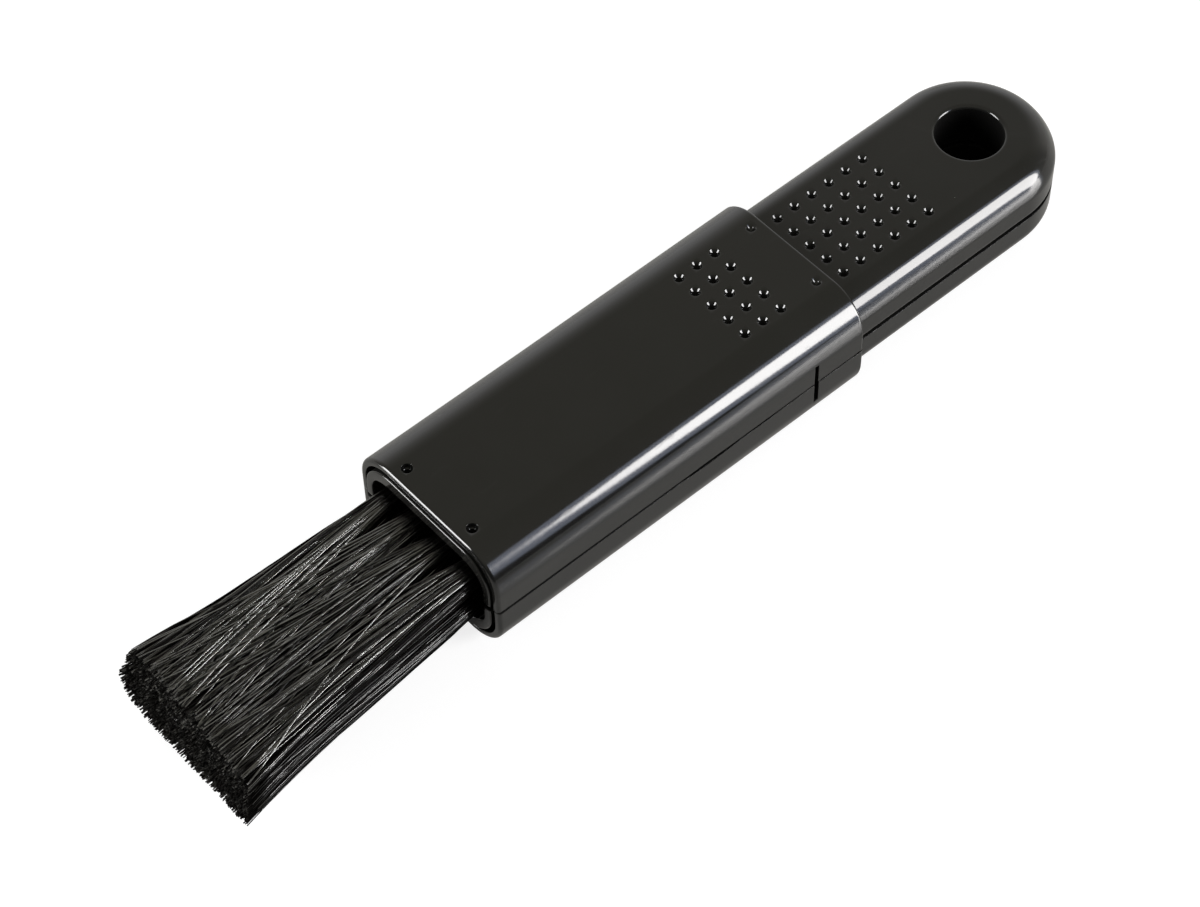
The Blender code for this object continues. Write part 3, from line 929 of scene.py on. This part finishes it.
class Nodes:
    """Short way to build a node tree. Each step takes the sockets of earlier ones and gives its own."""

    def __init__(self, material):
        material.use_nodes = True
        self.tree = material.node_tree
        self.shader = self.tree.nodes.get("Principled BSDF")

    def add(self, kind, **values):
        """A new node. A value in lower case is set on the node, and one with a capital on its input."""
        node = self.tree.nodes.new("ShaderNode" + kind)
        for key, value in values.items():
            if key.islower():
                setattr(node, key, value)
            else:
                node.inputs[key.replace("_", " ")].default_value = value
        return node

    def link(self, source, target):
        self.tree.links.new(source, target)

    def shade(self, name, source):
        self.link(source, self.shader.inputs[name])

    def stretched(self, coords, scale):
        node = self.add("Mapping")
        node.inputs["Scale"].default_value = scale
        self.link(coords, node.inputs["Vector"])
        return node.outputs["Vector"]

    def grain(self, coords, scale, detail=2.0, roughness=0.5):
        node = self.add("TexNoise", Scale=scale, Detail=detail, Roughness=roughness)
        self.link(coords, node.inputs["Vector"])
        return node.outputs["Fac"]

    def ranged(self, source, low, high, source_low=0.0, source_high=1.0):
        """Maps a value from source_low and source_high to low and high, and keeps it between them."""
        node = self.add("MapRange", From_Min=source_low, From_Max=source_high, To_Min=low, To_Max=high)
        self.link(source, node.inputs["Value"])
        return node.outputs["Result"]

    def tone(self, source, first, last):
        """A colour between two, where source goes from 0 to 1."""
        node = self.add("ValToRGB")
        node.color_ramp.elements[0].color = (*first, 1)
        node.color_ramp.elements[1].color = (*last, 1)
        self.link(source, node.inputs["Fac"])
        return node.outputs["Color"]

    def combine(self, operation, first, second):
        node = self.add("Math", operation=operation)
        self.link(first, node.inputs[0])
        self.link(second, node.inputs[1])
        return node.outputs["Value"]

    def mix(self, factor, first, second):
        """Blends two colours, each a socket or a plain colour."""
        node = self.add("Mix", data_type="RGBA")
        self.link(factor, node.inputs["Factor"])
        for key, value in (("A", first), ("B", second)):
            if isinstance(value, tuple):
                node.inputs[key].default_value = value
            else:
                self.link(value, node.inputs[key])
        return node.outputs["Result"]

    def bump(self, height, strength, distance, below=None, invert=False):
        """Raises the surface by a height, on top of the bump below it."""
        node = self.add("Bump", invert=invert, Strength=strength, Distance=distance)
        self.link(height, node.inputs["Height"])
        if below is not None:
            self.link(below, node.inputs["Normal"])
        return node.outputs["Normal"]


def new_material(name):
    """A material with its node tree and the coordinates on the piece."""
    material = bpy.data.materials.new(name)
    nodes = Nodes(material)
    return material, nodes, nodes.add("TexCoord").outputs["Object"]


def gloss_plastic(name, index, paleness, scratches):
    """Black moulded plastic: waviness, moulding grain, fine scratches, specks of dust and dulled edges.

    paleness multiplies its colour, where above 1 it is painted reflection, and scratches is their scale each
    way.
    """
    material, nodes, coords = new_material(name)
    nodes.shader.inputs["IOR"].default_value = index

    shade = nodes.grain(coords, 90.0, 3.0, 0.6)
    dark = (0.0035 * paleness, 0.0035 * paleness, 0.0032 * paleness)
    pale = (0.0075 * paleness, 0.0074 * paleness, 0.0070 * paleness)
    specks = nodes.add("TexVoronoi", Scale=420.0, Randomness=1.0)
    nodes.link(coords, specks.inputs["Vector"])
    near = nodes.ranged(specks.outputs["Distance"], 0.0, 1.0, 0.03, 0.0)
    rare = nodes.ranged(nodes.grain(coords, 260.0, 1.0), 0.0, 1.0, 0.62, 0.66)
    dust = nodes.combine("MULTIPLY", near, rare)
    nodes.shade("Base Color", nodes.mix(dust, nodes.tone(shade, dark, pale), (0.20, 0.19, 0.17, 1)))

    edge = nodes.add("NewGeometry").outputs["Pointiness"]
    worn = nodes.ranged(edge, 0.0, 0.10, 0.53, 0.62)
    polish = nodes.ranged(nodes.grain(coords, 140.0, 4.0, 0.65), 0.085, 0.135, 0.3, 0.75)
    lines = nodes.grain(nodes.stretched(coords, scratches), 1.0)
    scratch = nodes.ranged(lines, 0.0, 0.10, 0.66, 0.74)
    total = nodes.combine("ADD", polish, worn)
    nodes.shade("Roughness", nodes.combine("ADD", total, scratch))

    swell = nodes.bump(nodes.grain(coords, 55.0), 0.25, 0.00008)
    peel = nodes.bump(nodes.grain(coords, 1500.0, 3.0), 0.10, 0.00002, swell)
    nodes.shade("Normal", nodes.bump(scratch, 0.25, 0.000006, peel, invert=True))
    return material


def matte_plastic(name):
    """Dull black plastic of the block that holds the tufts."""
    material, nodes, coords = new_material(name)
    grain = nodes.grain(coords, 900.0, 4.0)
    nodes.shade("Base Color", nodes.tone(grain, (0.004, 0.004, 0.004), (0.009, 0.009, 0.009)))
    nodes.shade("Roughness", nodes.ranged(grain, 0.5, 0.75))
    nodes.shade("Normal", nodes.bump(grain, 0.4, 0.00003))
    return material


def brass(name):
    """Cut brass strip with fine lines from rolling and a little tarnish."""
    material, nodes, coords = new_material(name)
    nodes.shader.inputs["Metallic"].default_value = 1.0
    tarnish = nodes.grain(coords, 1200.0, 4.0)
    nodes.shade("Base Color", nodes.tone(tarnish, (0.42, 0.28, 0.10), (0.70, 0.50, 0.22)))
    lines = nodes.grain(nodes.stretched(coords, (300, 9000, 9000)), 1.0)
    nodes.shade("Roughness", nodes.ranged(lines, 0.22, 0.42))
    nodes.shade("Normal", nodes.bump(lines, 0.3, 0.00001))
    return material


def nylon(name, index, level, roughness):
    """Dark brown-black drawn filament, each a little different from its neighbours.

    level is its specular level, and roughness that of the smoothest filament.
    """
    material, nodes, coords = new_material(name)
    nodes.shader.inputs["IOR"].default_value = index
    nodes.shader.inputs["Specular IOR Level"].default_value = level
    filament = nodes.add("NewGeometry").outputs["Random Per Island"]
    nodes.shade("Base Color", nodes.tone(filament, (0.0010, 0.0009, 0.0008), (0.0045, 0.0038, 0.0034)))
    grain = nodes.grain(coords, 900.0)
    dull = nodes.ranged(filament, roughness, roughness + 0.14)
    uneven = nodes.ranged(grain, -0.02, 0.03, 0.3, 0.7)
    nodes.shade("Roughness", nodes.combine("ADD", dull, uneven))
    nodes.shade("Normal", nodes.bump(grain, 0.1, 0.000002))
    return material


def dead_black(name, level):
    """Black that gives back almost nothing: painted shade on the walls of the handle's hole and in the middle
    of the mouth dimples, and the matte cut ends of filaments.
    """
    material, nodes, coords = new_material(name)
    nodes.shader.inputs["Specular IOR Level"].default_value = 0.06
    grain = nodes.grain(coords, 1800.0, 3.0)
    mixed = nodes.add("Mix", Factor=0.6)
    nodes.link(grain, mixed.inputs["A"])
    nodes.link(nodes.add("NewGeometry").outputs["Random Per Island"], mixed.inputs["B"])
    dark = (level * 0.1, level * 0.1, level * 0.09)
    pale = (level * 2.0, level * 1.92, level * 1.8)
    nodes.shade("Base Color", nodes.tone(mixed.outputs["Result"], dark, pale))
    nodes.shade("Roughness", nodes.ranged(grain, 0.7, 0.95))
    nodes.shade("Normal", nodes.bump(grain, 0.3, 0.00001))
    return material


def keep_node(name, material):
    """Gives a CAD node that stays a better material."""
    obj = frame["nodes"][name]
    for slot in obj.material_slots:
        slot.material = material
    if not obj.material_slots:
        obj.data.materials.append(material)


def direction(azimuth, elevation):
    """Unit vector from the brush: azimuth 0 is towards -Y and 90 towards +X."""
    a = math.radians(azimuth)
    e = math.radians(elevation)
    return Vector((math.sin(a) * math.cos(e), -math.cos(a) * math.cos(e), math.sin(e)))


def add_softbox(name, azimuth, elevation, distance, width, height, turn, radiance, color=(1, 1, 1)):
    """Oval area lamp that faces the brush, with its radiance given in place of its power."""
    lamp = bpy.data.lights.new(name, "AREA")
    lamp.shape = "ELLIPSE"
    lamp.size = width
    lamp.size_y = height
    lamp.energy = radiance * math.pi * width * height * math.pi / 4
    lamp.color = color
    obj = bpy.data.objects.new(name, lamp)
    bpy.context.scene.collection.objects.link(obj)
    toward = direction(azimuth, elevation)
    obj.location = Vector((0.010, 0, axis_z)) + toward * distance
    obj.rotation_euler = (
        toward.to_track_quat("Z", "Y").to_matrix() @ Matrix.Rotation(math.radians(turn), 3, "Z")
    ).to_euler()
    return obj


def light_filaments(lamp, state):
    """Keeps a lamp's light on the filaments alone, or off them: state is INCLUDE or EXCLUDE."""
    group = bpy.data.collections.new(lamp.name + "_receivers")
    for number in range(1, 9):
        group.objects.link(bpy.data.objects["filaments_%d" % number])
    lamp.light_linking.receiver_collection = group
    for receiver in group.collection_objects:
        receiver.light_linking.link_state = state


def make_floor():
    """Pale glossy table top that reads as white, to the camera and in reflections, but keeps the shadow."""
    bm = bmesh.new()
    half = 3.0
    corners = ((-half, -half), (half, -half), (half, half), (-half, half))
    bm.faces.new([bm.verts.new((x, y, 0)) for x, y in corners])
    material = bpy.data.materials.new("table_top")
    floor = new_mesh_object("table_top", bm, material)
    nodes = Nodes(material)
    path = nodes.add("LightPath").outputs
    nodes.shade("Base Color", nodes.mix(path["Is Camera Ray"], (0.56, 0.55, 0.52, 1), (0.34, 0.34, 0.34, 1)))
    nodes.shader.inputs["Roughness"].default_value = 0.16
    faint = nodes.add("Math", operation="MULTIPLY")
    nodes.link(nodes.combine("MAXIMUM", path["Is Glossy Ray"], path["Is Transmission Ray"]), faint.inputs[0])
    faint.inputs[1].default_value = 0.05
    seen = nodes.add("Math", operation="MULTIPLY_ADD")
    nodes.link(path["Is Camera Ray"], seen.inputs[0])
    seen.inputs[1].default_value = 0.80
    nodes.link(faint.outputs["Value"], seen.inputs[2])
    nodes.shader.inputs["Emission Color"].default_value = (1, 1, 1, 1)
    nodes.shade("Emission Strength", seen.outputs["Value"])


def make_world():
    """Studio room, white to the camera. Mirrored, it is pale behind the brush and dark behind the camera."""
    world = bpy.data.worlds.new("room")
    bpy.context.scene.world = world
    nodes = Nodes(world)
    nodes.tree.nodes.clear()
    coords = nodes.add("TexCoord").outputs["Generated"]
    away = nodes.add("VectorMath", operation="DOT_PRODUCT")
    nodes.link(coords, away.inputs[0])
    away.inputs[1].default_value = (0.646, 0.763, 0.0)
    walls = nodes.add("ValToRGB")
    ramp = walls.color_ramp
    for position, level in ((0.32, 0.05), (0.48, 0.30), (0.70, 0.34), (0.78, 0.68), (1.0, 0.72)):
        element = ramp.elements.new(position)
        element.color = (level, level * 0.97, level * 0.89, 1)
    ramp.elements[0].color = (0.03, 0.03, 0.03, 1)
    ramp.elements[-1].color = (0.74, 0.72, 0.67, 1)
    nodes.link(nodes.ranged(away.outputs["Value"], 0.0, 1.0, -1.0, 1.0), walls.inputs["Fac"])
    parts = nodes.add("SeparateXYZ")
    nodes.link(coords, parts.inputs["Vector"])
    overhead = nodes.ranged(parts.outputs["Z"], 0.0, 1.0, 0.33, 0.83)
    room = nodes.mix(overhead, walls.outputs["Color"], (0.335, 0.325, 0.27, 1))
    path = nodes.add("LightPath").outputs
    mirrored = nodes.combine("MAXIMUM", path["Is Glossy Ray"], path["Is Transmission Ray"])
    level = nodes.mix(mirrored, (0.26, 0.26, 0.25, 1), room)
    background = nodes.add("Background")
    nodes.link(nodes.mix(path["Is Camera Ray"], level, (1, 1, 1, 1)), background.inputs["Color"])
    output = nodes.add("OutputWorld")
    nodes.link(background.outputs["Background"], output.inputs["Surface"])


def make_camera():
    """Camera at the photograph's viewing angle."""
    azimuth, elevation, roll = -40.272, 53.2005, -1.4257
    distance = 0.382495
    target = Vector((-0.0114748, -0.0078517, 0.0172))
    data = bpy.data.cameras.new("camera")
    data.sensor_width = 36.0
    data.lens = 96.459
    data.clip_start = 0.01
    data.clip_end = 20.0
    camera = bpy.data.objects.new("camera", data)
    bpy.context.scene.collection.objects.link(camera)
    back = direction(azimuth, elevation)
    right = Vector((0, 0, 1)).cross(back).normalized()
    up = back.cross(right)
    turn = math.radians(roll)
    right, up = right * math.cos(turn) + up * math.sin(turn), up * math.cos(turn) - right * math.sin(turn)
    matrix = Matrix((right, up, back)).transposed().to_4x4()
    matrix.translation = target + back * distance
    camera.matrix_world = matrix
    bpy.context.scene.camera = camera


# Painted shade: dead black for the bore of the handle's hole and the bottom of the mouth dimples
painted_shade_black = dead_black("pit_and_bore_painted_shade", 0.0015)
make_sleeve(gloss_plastic("sleeve_gloss", 1.56, 1.0, scratches_across), painted_shade_black)
# The handle's colour is 1.5 times as pale as the sleeve's: painted reflection, standing in for what its lower
# index gives up on its flat face
make_handle(gloss_plastic("handle_gloss", 1.49, 1.5, scratches_along), painted_shade_black)
make_bristles(
    nylon("nylon_dull", 1.53, 0.03, 0.20),
    nylon("nylon_plain", 1.53, 0.24, 0.14),
    nylon("nylon_shiny", 1.60, 0.9, 0.10),
    nylon("nylon_bright", 2.0, 1.0, 0.10),
    dead_black("cut_ends", 0.0050),
)
keep_node("brush_base", matte_plastic("base_matte"))
strip = brass("strip_brass")
for number in range(1, 9):
    keep_node("tuft_anchor_%d" % number, strip)

make_camera()
make_floor()
make_world()
key = add_softbox("key_softbox", 37.9, 17.2, 1.2, 0.866, 0.497, -62, 17.8, (1, 0.975, 0.945))
light_filaments(key, "EXCLUDE")
key_rim = add_softbox("key_rim", 36.6, 18.8, 1.22, 1.15, 0.76, -66, 1.9, (0.80, 0.90, 1.15))
light_filaments(key_rim, "EXCLUDE")
bristle_key = add_softbox("bristle_softbox", 28.0, 20.0, 1.2, 0.50, 0.26, 0, 25.0)
light_filaments(bristle_key, "INCLUDE")
add_softbox("fill_softbox", -118.5, 17.2, 1.2, 0.866, 0.497, 62, 17.8)
bpy.context.scene.view_settings.view_transform = "Standard"
